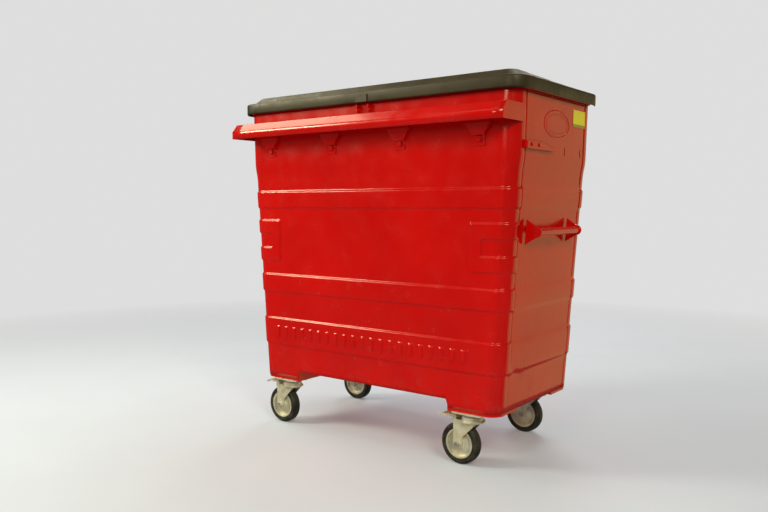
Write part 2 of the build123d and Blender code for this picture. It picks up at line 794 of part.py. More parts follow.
for (name, sx, sy), (cx, cy) in zip(corners, castor_spots):
    wheel_x = cx - trail

    with BuildPart() as castor_plate:
        with BuildSketch(Plane.XY.offset(plate_bottom)):
            with Locations((cx, cy)):
                RectangleRounded(plate_length, plate_width, 12)
                with Locations(bolt_spots):
                    Circle(bolt_radius + 0.5, mode=Mode.SUBTRACT)
        extrude(amount=plate_wall)
        with BuildSketch(Plane.XY.offset(cup_bottom)):
            with Locations((cx, cy)):
                Circle(race_radius)
        extrude(amount=cup_depth)
        with BuildSketch(Plane.XY.offset(cup_bottom)):
            with Locations((cx, cy)):
                Circle(kingpin_radius + fixed_gap)
        extrude(amount=cup_depth + plate_wall, mode=Mode.SUBTRACT)
    finish(castor_plate, f"castor_plate_{name}")

    with BuildPart() as castor_fork:
        with BuildSketch(Plane.XY.offset(crown_bottom)):
            with Locations((cx, cy)):
                Circle(race_radius + 6)
            with Locations((wheel_x - 24, cy)):
                Rectangle(trail + 24, 2 * leg_outer, align=(Align.MIN, Align.CENTER))
        extrude(amount=fork_wall)
        with BuildSketch(Plane.XY.offset(crown_top)):
            with Locations((cx, cy)):
                Circle(race_radius)
        extrude(amount=head_height)
        for side in (-1, 1):
            middle = (leg_inner + leg_outer) / 2
            with BuildSketch(Plane.XZ.offset(-(cy + side * middle - fork_wall / 2))):
                with BuildLine():
                    Polyline(
                        (wheel_x - 24, crown_top),
                        (wheel_x - 17, crown_bottom - 14),
                        (wheel_x - 17, wheel_radius),
                        (wheel_x + 16, wheel_radius - 6),
                        (wheel_x + 22, wheel_radius + 30),
                        (cx + 26, crown_bottom - 4),
                        (cx + 26, crown_top),
                        close=True,
                    )
                make_face()
                with Locations((wheel_x, wheel_radius)):
                    Circle(17)
                    Circle(axle_radius + fixed_gap, mode=Mode.SUBTRACT)
            extrude(amount=-fork_wall)
        with BuildSketch(Plane.XY.offset(crown_bottom)):
            with Locations((cx, cy)):
                Circle(kingpin_radius + running_gap)
        extrude(amount=fork_wall + head_height, mode=Mode.SUBTRACT)
        if sy < 0:
            for side in (-1, 1):
                ear = pedal_half + 1 + pedal_ear / 2
                with BuildSketch(Plane.XZ.offset(-(cy + side * ear - pedal_ear / 2))):
                    with Locations((cx - pedal_pin_back, pedal_pin_z)):
                        Circle(7)
                    with Locations((cx - pedal_pin_back, crown_top - 1)):
                        Rectangle(14, pedal_pin_z - crown_top + 1, align=(Align.CENTER, Align.MIN))
                    with Locations((cx - pedal_pin_back, pedal_pin_z)):
                        Circle(pedal_pin_radius + running_gap, mode=Mode.SUBTRACT)
                extrude(amount=-pedal_ear)
    finish(castor_fork, f"castor_fork_{name}")

    axle_end = leg_outer + 14
    with BuildPart() as axle_bolt:
        with BuildSketch(Plane.XZ.offset(-(cy - leg_outer))):
            with Locations((wheel_x, wheel_radius)):
                Circle(axle_radius)
        extrude(amount=-(leg_outer + axle_end))
        with BuildSketch(Plane.XZ.offset(-(cy - leg_outer - 8))):
            with Locations((wheel_x, wheel_radius)):
                RegularPolygon(11, 6)
        extrude(amount=-8)
        with BuildSketch(Plane.XZ.offset(-(cy + leg_outer))):
            with Locations((wheel_x, wheel_radius)):
                RegularPolygon(11, 6)
        extrude(amount=-10)
    finish(axle_bolt, f"axle_bolt_{name}")

    disc_radius = wheel_radius - tyre_depth
    with BuildPart() as wheel_bush:
        with BuildSketch(Plane.XZ.offset(-(cy - leg_inner + 1))):
            with Locations((wheel_x, wheel_radius)):
                Circle(bush_radius)
                Circle(axle_radius + running_gap, mode=Mode.SUBTRACT)
        extrude(amount=-(2 * leg_inner - 2))
    finish(wheel_bush, f"wheel_bush_{name}")

    wheel_plane = Plane(origin=(wheel_x, cy, wheel_radius), x_dir=(1, 0, 0), z_dir=(0, 0, 1))
    with BuildPart() as wheel_disc:
        with BuildSketch(wheel_plane):
            with BuildLine():
                Polyline(
                    (bush_radius, -hub_half),
                    (hub_radius, -hub_half),
                    (hub_radius, -12),
                    (disc_radius - 9, -7),
                    (disc_radius - 5, -rim_half),
                    (disc_radius, -rim_half),
                    (disc_radius, rim_half),
                    (disc_radius - 5, rim_half),
                    (disc_radius - 9, 7),
                    (hub_radius, 12),
                    (hub_radius, hub_half),
                    (bush_radius, hub_half),
                    close=True,
                )
            make_face()
        revolve(axis=Axis((wheel_x, cy, wheel_radius), (0, 1, 0)))
    finish(wheel_disc, f"wheel_disc_{name}")

    with BuildPart() as tyre:
        with BuildSketch(wheel_plane):
            with BuildLine():
                Polyline(
                    (disc_radius, -rim_half),
                    (disc_radius + 3, -tyre_width / 2 + 1),
                    (wheel_radius - 9, -tyre_width / 2),
                    (wheel_radius - 3, -tyre_width / 2 + 5),
                    (wheel_radius, -6),
                    (wheel_radius, 6),
                    (wheel_radius - 3, tyre_width / 2 - 5),
                    (wheel_radius - 9, tyre_width / 2),
                    (disc_radius + 3, tyre_width / 2 - 1),
                    (disc_radius, rim_half),
                    close=True,
                )
            make_face()
        revolve(axis=Axis((wheel_x, cy, wheel_radius), (0, 1, 0)))
    finish(tyre, f"tyre_{name}")

# ---------------------------------------------------------------- brake pedals
for name, sx, sy in corners[:2]:
    cx, cy = castor_spot(sx, sy)
    pin_x = cx - pedal_pin_back
    with BuildPart() as brake_pedal:
        with BuildSketch(Plane.XZ.offset(-(cy - pedal_half))):
            with BuildLine():
                Polyline(
                    (pin_x + 8, pedal_pin_z + 4),
                    (pin_x - 6, pedal_pin_z + 6),
                    (pin_x - 60, pedal_pin_z + 2),
                    (pin_x - 76, pedal_pin_z - 8),
                    (pin_x - 74, pedal_pin_z - 11),
                    (pin_x - 59, pedal_pin_z - 2),
                    (pin_x - 8, pedal_pin_z - 4.5),
                    (pin_x + 8, pedal_pin_z - 4.5),
                    close=True,
                )
            make_face()
        extrude(amount=-2 * pedal_half)
        with BuildSketch(Plane.XZ.offset(-(cy - pedal_half - pedal_pin_end))):
            with Locations((pin_x, pedal_pin_z)):
                Circle(pedal_pin_radius)
        extrude(amount=-2 * (pedal_half + pedal_pin_end))
    finish(brake_pedal, f"brake_pedal_{name}")
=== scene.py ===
import json
import math

import bmesh
import bpy
import numpy as np
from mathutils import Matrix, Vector


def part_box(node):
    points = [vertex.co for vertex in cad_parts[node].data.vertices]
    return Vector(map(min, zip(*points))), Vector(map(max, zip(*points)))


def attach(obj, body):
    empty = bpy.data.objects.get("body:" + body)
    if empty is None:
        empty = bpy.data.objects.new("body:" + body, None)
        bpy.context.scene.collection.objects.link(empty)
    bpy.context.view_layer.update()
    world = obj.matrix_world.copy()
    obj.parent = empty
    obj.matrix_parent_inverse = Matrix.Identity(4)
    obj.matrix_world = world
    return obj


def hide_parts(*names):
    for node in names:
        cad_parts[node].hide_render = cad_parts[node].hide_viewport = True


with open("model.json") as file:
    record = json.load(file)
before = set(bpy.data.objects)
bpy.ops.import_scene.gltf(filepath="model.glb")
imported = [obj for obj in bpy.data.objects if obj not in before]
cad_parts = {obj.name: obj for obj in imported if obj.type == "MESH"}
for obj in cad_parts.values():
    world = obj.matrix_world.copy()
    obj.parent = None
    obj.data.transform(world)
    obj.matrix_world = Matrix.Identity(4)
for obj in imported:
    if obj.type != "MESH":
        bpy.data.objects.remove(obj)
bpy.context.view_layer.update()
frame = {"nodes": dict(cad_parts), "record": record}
nodes = frame["nodes"]
slotOfNode = {part["node"]: part["material_slot"] for part in frame["record"]["subparts"]}
bodyOfNode = {node: body for body, members in frame["record"]["behaviour"]["bodies"].items()
              for node in members}
cornerNames = ("front_left", "front_right", "rear_left", "rear_right")
print("frame loaded:", len(nodes), "nodes")


def newMaterial(name):
    # a material with its node tree and its shader
    material = bpy.data.materials.new(name)
    material.use_nodes = True
    tree = material.node_tree
    return material, tree, tree.nodes["Principled BSDF"]


def noiseOn(tree, scale, detail=4.0, stretch=(1.0, 1.0, 1.0)):
    # noise on Object coordinates, stretched along an axis when a grain has a direction
    coords = tree.nodes.new("ShaderNodeTexCoord")
    mapping = tree.nodes.new("ShaderNodeMapping")
    mapping.inputs["Scale"].default_value = stretch
    noise = tree.nodes.new("ShaderNodeTexNoise")
    noise.inputs["Scale"].default_value = scale
    noise.inputs["Detail"].default_value = detail
    tree.links.new(coords.outputs["Object"], mapping.inputs["Vector"])
    tree.links.new(mapping.outputs["Vector"], noise.inputs["Vector"])
    return noise.outputs["Fac"]


def ramp(tree, source, stops):
    # colour ramp from a list of (place, colour) stops
    node = tree.nodes.new("ShaderNodeValToRGB")
    elements = node.color_ramp.elements
    elements[0].position, elements[0].color = stops[0]
    elements[1].position, elements[1].color = stops[-1]
    for place, colour in stops[1:-1]:
        elements.new(place).color = colour
    tree.links.new(source, node.inputs["Fac"])
    return node.outputs["Color"]


def mapRange(tree, source, fromRange, toRange):
    # straight-line rescaling of a value from one range to another
    node = tree.nodes.new("ShaderNodeMapRange")
    node.inputs["From Min"].default_value, node.inputs["From Max"].default_value = fromRange
    node.inputs["To Min"].default_value, node.inputs["To Max"].default_value = toRange
    tree.links.new(source, node.inputs["Value"])
    return node.outputs["Result"]


def mixColours(tree, share, first, second):
    # first colour at share 0, second at share 1
    node = tree.nodes.new("ShaderNodeMix")
    node.data_type = "RGBA"
    for socket, value in (("Factor", share), ("A", first), ("B", second)):
        target = [s for s in node.inputs if s.name == socket and s.enabled][0]
        if isinstance(value, bpy.types.NodeSocket):
            tree.links.new(value, target)
        else:
            target.default_value = value
    return [s for s in node.outputs if s.enabled][0]


def addBump(tree, shader, heights):
    # several heights, each (source, strength, distance), laid one over the other
    normal = None
    for source, strength, distance in heights:
        bump = tree.nodes.new("ShaderNodeBump")
        bump.inputs["Strength"].default_value = strength
        bump.inputs["Distance"].default_value = distance
        tree.links.new(source, bump.inputs["Height"])
        if normal is not None:
            tree.links.new(normal, bump.inputs["Normal"])
        normal = bump.outputs["Normal"]
    tree.links.new(normal, shader.inputs["Normal"])


def bumpLayer(tree, layer):
    # one layer for addBump, from its noise scale, noise detail, strength and depth
    scale, detail, strength, depth = layer
    return noiseOn(tree, scale, detail), strength, depth


def heightOn(tree):
    # height above the ground, read off the Object coordinates
    coords = tree.nodes.new("ShaderNodeTexCoord")
    split = tree.nodes.new("ShaderNodeSeparateXYZ")
    tree.links.new(coords.outputs["Object"], split.inputs["Vector"])
    return split.outputs["Z"]


paintLook = {
    "deep": (0.54, 0.0012, 0.0006, 1.0),
    "fresh": (0.62, 0.0022, 0.0010, 1.0),
    "cloudNoise": (3.0, 3.0),  # noise scale and detail, here and below
    "cloudEdges": (0.35, 0.65),
    "dust": (0.30, 0.045, 0.030, 1.0),
    "dustNoise": (55.0, 8.0),
    "dustEdges": (0.52, 0.74),
    "dustMost": 0.55,
    "dustHeights": (0.42, 0.17),  # none above the first, most at the second
    "wearNoise": (14.0, 6.0),
    "wearEdges": (0.35, 0.70),
    "roughness": (0.16, 0.30),
    "waves": (5.0, 1.5, 0.08, 0.004),
    "peel": (420.0, 2.0, 0.10, 0.0004),
    "coat": 0.35,
    "coatRoughness": 0.08,
    "specular": 0.30,
}


def makeRedPaint():
    # clouded red under a thin clear coat, with dust in patches near the foot
    look = paintLook
    material, tree, shader = newMaterial("red gloss paint")
    cloudy = noiseOn(tree, *look["cloudNoise"])
    colour = ramp(tree, cloudy, list(zip(look["cloudEdges"], (look["deep"], look["fresh"]))))
    speckle = noiseOn(tree, *look["dustNoise"])
    low = mapRange(tree, heightOn(tree), look["dustHeights"], (0.0, 1.0))
    patchy = mapRange(tree, speckle, look["dustEdges"], (0.0, look["dustMost"]))
    dusty = tree.nodes.new("ShaderNodeMath")
    dusty.operation = "MULTIPLY"
    tree.links.new(low, dusty.inputs[0])
    tree.links.new(patchy, dusty.inputs[1])
    colour = mixColours(tree, dusty.outputs["Value"], colour, look["dust"])
    tree.links.new(colour, shader.inputs["Base Color"])
    wear = noiseOn(tree, *look["wearNoise"])
    tree.links.new(mapRange(tree, wear, look["wearEdges"], look["roughness"]),
                   shader.inputs["Roughness"])
    addBump(tree, shader, [bumpLayer(tree, look["waves"]), bumpLayer(tree, look["peel"])])
    shader.inputs["Coat Weight"].default_value = look["coat"]
    shader.inputs["Coat Roughness"].default_value = look["coatRoughness"]
    shader.inputs["Specular IOR Level"].default_value = look["specular"]
    return material


lidLook = {
    "dark": (0.033, 0.026, 0.013, 1.0),
    "worn": (0.060, 0.048, 0.026, 1.0),
    "scuffNoise": (9.0, 9.0, (0.5, 1.0, 1.0)),  # scale, detail and stretch
    "scuffEdges": (0.40, 0.78),
    "hazeNoise": (30.0, 5.0),
    "hazeEdges": (0.3, 0.7),
    "roughness": (0.34, 0.50),
    "waves": (5.0, 2.0, 0.15, 0.004),
    "grain": (700.0, 3.0, 0.25, 0.0003),
    "specular": 0.36,
}


def makeLidPlastic():
    # dark olive plastic with paler scuffs along its length
    look = lidLook
    material, tree, shader = newMaterial("moulded black plastic")
    scuffs = noiseOn(tree, *look["scuffNoise"])
    colour = ramp(tree, scuffs, list(zip(look["scuffEdges"], (look["dark"], look["worn"]))))
    tree.links.new(colour, shader.inputs["Base Color"])
    haze = noiseOn(tree, *look["hazeNoise"])
    tree.links.new(mapRange(tree, haze, look["hazeEdges"], look["roughness"]),
                   shader.inputs["Roughness"])
    shader.inputs["Specular IOR Level"].default_value = look["specular"]
    addBump(tree, shader, [bumpLayer(tree, look["waves"]), bumpLayer(tree, look["grain"])])
    return material


zincLook = {
    "bright": (0.80, 0.79, 0.70, 1.0),
    "straw": (0.72, 0.67, 0.50, 1.0),
    "dull": (0.50, 0.49, 0.43, 1.0),
    "stainNoise": (26.0, 6.0),
    "stainPlaces": (0.34, 0.50, 0.64),
    "metal": 0.40,
    "grainNoise": (140.0, 4.0, (1.0, 1.0, 0.2)),
    "grainEdges": (0.3, 0.7),
    "grainBump": (0.12, 0.0004),  # strength and depth
    "roughness": (0.30, 0.50),
    "dents": (60.0, 3.0, 0.12, 0.001),
}


def makeZinc():
    # stained pale plating with an upright grain
    look = zincLook
    material, tree, shader = newMaterial("yellow zinc plate")
    stain = noiseOn(tree, *look["stainNoise"])
    colour = ramp(tree, stain, list(zip(look["stainPlaces"],
                                        (look["dull"], look["straw"], look["bright"]))))
    tree.links.new(colour, shader.inputs["Base Color"])
    shader.inputs["Metallic"].default_value = look["metal"]
    grain = noiseOn(tree, *look["grainNoise"])
    tree.links.new(mapRange(tree, grain, look["grainEdges"], look["roughness"]),
                   shader.inputs["Roughness"])
    addBump(tree, shader, [(grain, *look["grainBump"]), bumpLayer(tree, look["dents"])])
    return material


steelLook = {
    "clean": (0.66, 0.65, 0.60, 1.0),
    "grey": (0.42, 0.41, 0.38, 1.0),
    "spotNoise": (90.0, 6.0),
    "spotPlaces": (0.38, 0.62),
    "spotEdges": (0.3, 0.7),
    "metal": 0.60,
    "roughness": (0.26, 0.46),
    "turning": (320.0, 2.0, (1.0, 0.2, 1.0)),
    "turningBump": (0.15, 0.0003),
}


def makeBoltSteel():
    # greyish turned steel with fine marks across its length
    look = steelLook
    material, tree, shader = newMaterial("turned bolt steel")
    spots = noiseOn(tree, *look["spotNoise"])
    colour = ramp(tree, spots, list(zip(look["spotPlaces"], (look["grey"], look["clean"]))))
    tree.links.new(colour, shader.inputs["Base Color"])
    shader.inputs["Metallic"].default_value = look["metal"]
    tree.links.new(mapRange(tree, spots, look["spotEdges"], look["roughness"]),
                   shader.inputs["Roughness"])
    addBump(tree, shader, [(noiseOn(tree, *look["turning"]), *look["turningBump"])])
    return material


rubberLook = {
    "black": (0.012, 0.012, 0.010, 1.0),
    "dusty": (0.058, 0.054, 0.040, 1.0),
    "dustNoise": (34.0, 8.0),
    "dustPlaces": (0.42, 0.76),
    "dustEdges": (0.3, 0.7),
    "roughness": (0.48, 0.72),
    "grain": (260.0, 4.0, 0.25, 0.0005),
}


def makeRubber():
    # black rubber with dry dust
    look = rubberLook
    material, tree, shader = newMaterial("tyre rubber")
    dust = noiseOn(tree, *look["dustNoise"])
    colour = ramp(tree, dust, list(zip(look["dustPlaces"], (look["black"], look["dusty"]))))
    tree.links.new(colour, shader.inputs["Base Color"])
    tree.links.new(mapRange(tree, dust, look["dustEdges"], look["roughness"]),
                   shader.inputs["Roughness"])
    addBump(tree, shader, [bumpLayer(tree, look["grain"])])
    return material


bushLook = {
    "dark": (0.018, 0.018, 0.018, 1.0),
    "rubbed": (0.070, 0.068, 0.062, 1.0),
    "rubNoise": (80.0, 5.0),
    "rubPlaces": (0.45, 0.75),
    "rubEdges": (0.3, 0.7),
    "rubBump": (0.1, 0.0004),
    "roughness": (0.35, 0.55),
}


def makeBushPlastic():
    # black plastic, rubbed paler in places
    look = bushLook
    material, tree, shader = newMaterial("black bush plastic")
    rub = noiseOn(tree, *look["rubNoise"])
    colour = ramp(tree, rub, list(zip(look["rubPlaces"], (look["dark"], look["rubbed"]))))
    tree.links.new(colour, shader.inputs["Base Color"])
    tree.links.new(mapRange(tree, rub, look["rubEdges"], look["roughness"]),
                   shader.inputs["Roughness"])
    addBump(tree, shader, [(rub, *look["rubBump"])])
    return material


labelLook = {
    "yellow": (0.93, 0.84, 0.010, 1.0),
    "faded": (0.88, 0.82, 0.040, 1.0),
    "fadeNoise": (40.0, 5.0),
    "fadePlaces": (0.4, 0.7),
    "fadeEdges": (0.3, 0.7),
    "strip": (0.36, 0.30, 0.020, 1.0),
    "stripShare": 0.18,
    "stripBlur": 0.001,
    "roughness": (0.22, 0.40),
    "creases": (25.0, 3.0, 0.15, 0.001),
}


def makeLabelFilm():
    # plain yellow film with one darker strip along its lower edge
    look = labelLook
    material, tree, shader = newMaterial("yellow label film")
    fade = noiseOn(tree, *look["fadeNoise"])
    colour = ramp(tree, fade, list(zip(look["fadePlaces"], (look["yellow"], look["faded"]))))
    low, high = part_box("rating_label")
    edge = low.z + look["stripShare"] * (high.z - low.z)
    inStrip = mapRange(tree, heightOn(tree), (edge, edge - look["stripBlur"]), (0.0, 1.0))
    colour = mixColours(tree, inStrip, colour, look["strip"])
    tree.links.new(colour, shader.inputs["Base Color"])
    tree.links.new(mapRange(tree, fade, look["fadeEdges"], look["roughness"]),
                   shader.inputs["Roughness"])
    addBump(tree, shader, [bumpLayer(tree, look["creases"])])
    return material


finishes = {
    "red_paint": makeRedPaint(),
    "lid_plastic": makeLidPlastic(),
    "zinc_plated": makeZinc(),
    "bolt_steel": makeBoltSteel(),
    "bush_plastic": makeBushPlastic(),
    "tyre_black": makeRubber(),
    "label_yellow": makeLabelFilm(),
}
for nodeName, node in nodes.items():
    node.data.materials.clear()
    node.data.materials.append(finishes[slotOfNode[nodeName]])
print("finishes made:", len(finishes))


def smoothStep(value):
    # 0 below 0, 1 above 1, with an easy bend at both ends
    share = np.clip(value, 0.0, 1.0)
    return share * share * (3.0 - 2.0 * share)


def spacedLine(low, high, coarse, features=(), fine=0.002, reach=0.008):
    # places from low to high, a coarse step apart, and a fine step apart near each feature
    places = [np.linspace(low, high, max(2, int(round((high - low) / coarse)) + 1))]
    for feature in features:
        near = np.arange(feature - reach, feature + reach + fine / 2, fine)
        places[0] = places[0][np.abs(places[0] - feature) > reach + fine / 2]
        places.append(near[(near > low) & (near < high)])
    line = np.unique(np.round(np.concatenate(places + [[low, high]]), 6))
    keep = np.concatenate([[True], np.diff(line) > fine * 0.35])
    line = line[keep]
    line[-1] = high
    return line


def gridMesh(name, points, closedRows=False, closedColumns=False, kept=None):
    # quads between neighbouring points of a rows x columns grid, closed round either way
    rows, columns = points.shape[:2]
    index = np.arange(rows * columns).reshape(rows, columns)
    if closedRows:
        index = np.vstack([index, index[:1]])
    if closedColumns:
        index = np.hstack([index, index[:, :1]])
    quads = np.stack([index[:-1, :-1], index[:-1, 1:], index[1:, 1:], index[1:, :-1]], axis=-1)
    quads = quads[kept] if kept is not None else quads.reshape(-1, 4)
    mesh = bpy.data.meshes.new(name)
    mesh.from_pydata(points.reshape(-1, 3).tolist(), [], quads.reshape(-1, 4).tolist())
    return mesh


def joinedMesh(name, meshes):
    # one mesh out of several, each left where it is
    joined = bmesh.new()
    for mesh in meshes:
        joined.from_mesh(mesh)
        bpy.data.meshes.remove(mesh)
    result = bpy.data.meshes.new(name)
    joined.to_mesh(result)
    joined.free()
    return result


def closeUp(mesh, distance=1e-5):
    # merges points that fall together, as at a pole or where a ring folds flat
    merged = bmesh.new()
    merged.from_mesh(mesh)
    bmesh.ops.remove_doubles(merged, verts=merged.verts, dist=distance)
    bmesh.ops.dissolve_degenerate(merged, edges=merged.edges, dist=distance)
    merged.to_mesh(mesh)
    merged.free()


def faceAwayFrom(mesh, centre):
    # turns the whole sheet over when more of it faces the centre than away from it
    count = len(mesh.polygons)
    normals, middles, areas = np.zeros(count * 3), np.zeros(count * 3), np.zeros(count)
    mesh.polygons.foreach_get("normal", normals)
    mesh.polygons.foreach_get("center", middles)
    mesh.polygons.foreach_get("area", areas)
    outward = (normals.reshape(-1, 3) * (middles.reshape(-1, 3) - np.array(centre))).sum(axis=1)
    if (outward * areas).sum() < 0:
        mesh.flip_normals()


def addPiece(name, mesh, slotName, body, replaced=(), wall=0.0, sharp=40.0, centre=None):
    # a finished piece: faces outward, smooth but for sharp edges, in its finish, on its body
    if centre is not None:
        faceAwayFrom(mesh, centre)
    mesh.polygons.foreach_set("use_smooth", np.ones(len(mesh.polygons), bool))
    mesh.set_sharp_from_angle(angle=math.radians(sharp))
    mesh.materials.append(finishes[slotName])
    piece = bpy.data.objects.new(name, mesh)
    bpy.context.scene.collection.objects.link(piece)
    if wall:
        thicken = piece.modifiers.new("wall", "SOLIDIFY")
        thicken.thickness = wall
        thicken.offset = -1.0
    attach(piece, body)
    if replaced:
        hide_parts(*replaced)
    return piece


bevelStyle = {
    "segments": 2,
    "angle": 32.0,
    "mergeDistance": 2e-6,
    "flatAngle": 1.0,
}


def softened(nodeName, width):
    # copy of a frame node whose hard edges are rolled over by a small bevel
    style = bevelStyle
    mesh = nodes[nodeName].data.copy()
    mesh.materials.clear()
    copy = bmesh.new()
    copy.from_mesh(mesh)
    bmesh.ops.remove_doubles(copy, verts=copy.verts, dist=style["mergeDistance"])
    bmesh.ops.dissolve_limit(copy, angle_limit=math.radians(style["flatAngle"]), verts=copy.verts,
                             edges=copy.edges, delimit={"NORMAL"})
    copy.to_mesh(mesh)
    copy.free()
    piece = addPiece(nodeName + ".rounded", mesh, slotOfNode[nodeName], bodyOfNode[nodeName],
                     (nodeName,), sharp=style["angle"])
    roll = piece.modifiers.new("rolled edges", "BEVEL")
    roll.width = width
    roll.segments = style["segments"]
    roll.limit_method = "ANGLE"
    roll.angle_limit = math.radians(style["angle"])
    roll.harden_normals = True


sideLow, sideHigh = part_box("side_panel_right")
frontLow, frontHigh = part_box("front_panel")
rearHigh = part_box("rear_panel")[1]
bodyShape = {
    "halfWidth": frontHigh.x,
    "front": frontLow.y,
    "rear": rearHigh.y,
    "rim": frontHigh.z,
    "low": frontLow.z,
    "taperFrom": 0.235,
    "shoulder": 1.085,
    "shoulderShare": 0.10,
    "sideSetback": 0.063,
    "frontSetback": 0.008,
    "rearSetback": 0.023,
    "corner": 0.055,
    "sheet": 0.002,
    "press": 0.005,
    "ledge": 0.010,
    "padLedge": 0.009,
    "shoulderBlend": 0.060,
    "bands": ((0.340, 0.450), (0.560, 0.633), (0.908, 0.975)),
    "pad": (0.455, 0.690, 0.857),
    "window": (0.498, 0.744, 0.803),
    "archHalf": 0.360,
    "archHigh": 0.235,
    "archBlend": 0.014,
    "archSettle": 0.300,  # rows above this height are not moved by the arch
    "flatHalf": 0.505,
    "columnStep": 0.020,
    "columnFine": (0.0018, 0.0085),  # fine step, and how far it reaches
    "rowStep": 0.022,
    "rowFine": (0.0016, 0.0075),
    "rimGap": 0.001,
    "spreadSteps": 5,
    "turnSteps": 17,
    "seamReach": 0.012,
}
bodyCentre = (0.0, (bodyShape["front"] + bodyShape["rear"]) / 2, bodyShape["rim"] / 2)


def setbackShare(z):
    # share of the setback at a height: slight above the shoulder, even below it
    shape = bodyShape
    above = shape["shoulderShare"] * (shape["rim"] - z) / (shape["rim"] - shape["shoulder"])
    below = (shape["shoulder"] - z) / (shape["shoulder"] - shape["taperFrom"])
    return np.where(z >= shape["shoulder"], above,
                    shape["shoulderShare"] + (1 - shape["shoulderShare"]) * below)


def halfWidthAt(z):
    # half width at a height: the rim's less the side's setback
    return bodyShape["halfWidth"] - bodyShape["sideSetback"] * setbackShare(z)


def endAt(z, end):
    # y of the front face for end -1 and of the rear face for end +1
    if end < 0:
        return bodyShape["front"] + bodyShape["frontSetback"] * setbackShare(z)
    return bodyShape["rear"] - bodyShape["rearSetback"] * setbackShare(z)


def proudBetween(value, low, high, blend):
    # 1 between low and high and 0 outside, with eased edges a blend wide
    return smoothStep((value - low) / blend + 0.5) * smoothStep((high - value) / blend + 0.5)


def bandInset(z, ledge=bodyShape["ledge"]):
    # how far the sheet lies behind its proudest face: 0 on a band and above the shoulder
    shape = bodyShape
    proud = smoothStep((z - shape["shoulder"] + shape["shoulderBlend"]) / shape["shoulderBlend"])
    for low, high in shape["bands"]:
        proud = np.maximum(proud, proudBetween(z, low, high, ledge))
    return shape["press"] * (1 - proud)


def padInset(x, z):
    # the front's inset: bands, and the corner pads with their sunk windows
    shape = bodyShape
    padX, padLow, padHigh = shape["pad"]
    windowX, windowLow, windowHigh = shape["window"]
    blend = shape["padLedge"]
    pad = smoothStep((np.abs(x) - padX) / blend + 0.5) * proudBetween(z, padLow, padHigh, blend)
    window = (smoothStep((np.abs(x) - windowX) / blend + 0.5)
              * proudBetween(z, windowLow, windowHigh, blend))
    return np.minimum(bandInset(z), shape["press"] * (1 - pad * (1 - window)))


def bodyRows():
    # heights of the grid's rows, closer together at every pressed edge
    shape = bodyShape
    edges = [edge for band in shape["bands"] for edge in band]
    edges += list(shape["pad"][1:]) + list(shape["window"][1:])
    return spacedLine(shape["low"], shape["rim"] - shape["rimGap"], shape["rowStep"], edges,
                      *shape["rowFine"])


def panelMesh(end):
    # one end of the body, wrapped round both corners to the seams: each column has a foot
    # point inside the wall and an outward direction, and the sheet lies a corner radius out
    shape = bodyShape
    corner = shape["corner"]
    flatHalf = shape["flatHalf"]
    features = [side * x for side in (-1, 1)
                for x in (shape["pad"][0], shape["window"][0], shape["archHalf"])]
    flat = spacedLine(-flatHalf, flatHalf, shape["columnStep"], features, *shape["columnFine"])
    past = np.linspace(0.0, 1.0, shape["spreadSteps"])[1:]
    turn = np.radians(np.linspace(0.0, 90.0, shape["turnSteps"]))[1:]
    seam = np.linspace(0.0, shape["seamReach"], 3)[1:]
    rows = bodyRows()[:, None]
    half = halfWidthAt(rows) - corner
    foot = endAt(rows, end) - end * corner
    ones = np.ones_like(rows)

    def halfColumns(side):
        # foot points and directions from the last flat column round to one seam
        x = np.hstack([side * (flatHalf + past * (half - flatHalf)),
                       side * half * np.ones(len(turn)), side * half * np.ones(len(seam))])
        y = np.hstack([foot * np.ones(len(past)), foot * np.ones(len(turn)), foot - end * seam])
        outX = np.concatenate([np.zeros(len(past)), side * np.sin(turn), side * np.ones(len(seam))])
        outY = np.concatenate([end * np.ones(len(past)), end * np.cos(turn), np.zeros(len(seam))])
        return x, y, ones * outX, ones * outY

    left, right = halfColumns(-1), halfColumns(1)
    middle = (ones * flat, foot * np.ones(len(flat)), ones * np.zeros(len(flat)),
              ones * end * np.ones(len(flat)))
    x, y, outX, outY = [np.hstack([l[:, ::-1], m, r]) for l, m, r in zip(left, middle, right)]
    # the lower edge rises over the middle
    arch = smoothStep((shape["archHalf"] + shape["archBlend"] / 2 - np.abs(x)) / shape["archBlend"])
    lowEdge = shape["low"] + (shape["archHigh"] - shape["low"]) * arch
    settle = shape["archSettle"]
    stretched = settle - (settle - rows) * (settle - lowEdge) / (settle - shape["low"])
    z = np.where(rows < settle, stretched, rows)
    inset = padInset(x, z) if end < 0 else bandInset(z)
    reach = corner - inset
    return gridMesh("panel", np.stack([x + outX * reach, y + outY * reach, z], axis=-1))


addPiece("frontPanel", panelMesh(-1), "red_paint", "bin", ("front_panel",),
         wall=bodyShape["sheet"], centre=bodyCentre)
addPiece("rearPanel", panelMesh(1), "red_paint", "bin", ("rear_panel",),
         wall=bodyShape["sheet"], centre=bodyCentre)


sideShape = {
    "slotY": (0.0845, 0.2215),
    "slotZ": 1.110,
    "slotHeight": 0.031,
    "slotWidth": 0.006,
    "recess": 0.0007,
    "creaseFrom": (-0.2185, 0.363),
    "creaseTo": (-0.0465, 0.274),
    "creaseDepth": 0.0022,
    "creaseWidth": 0.010,
    "creaseFade": 0.03,
    "ledge": 0.026,
    "columnStep": 0.014,
    "columnFine": (0.0015, 0.006),
    "slotMargin": 0.004,
    "slotStep": 0.003,
    "slotFine": (0.001, 0.004),
}


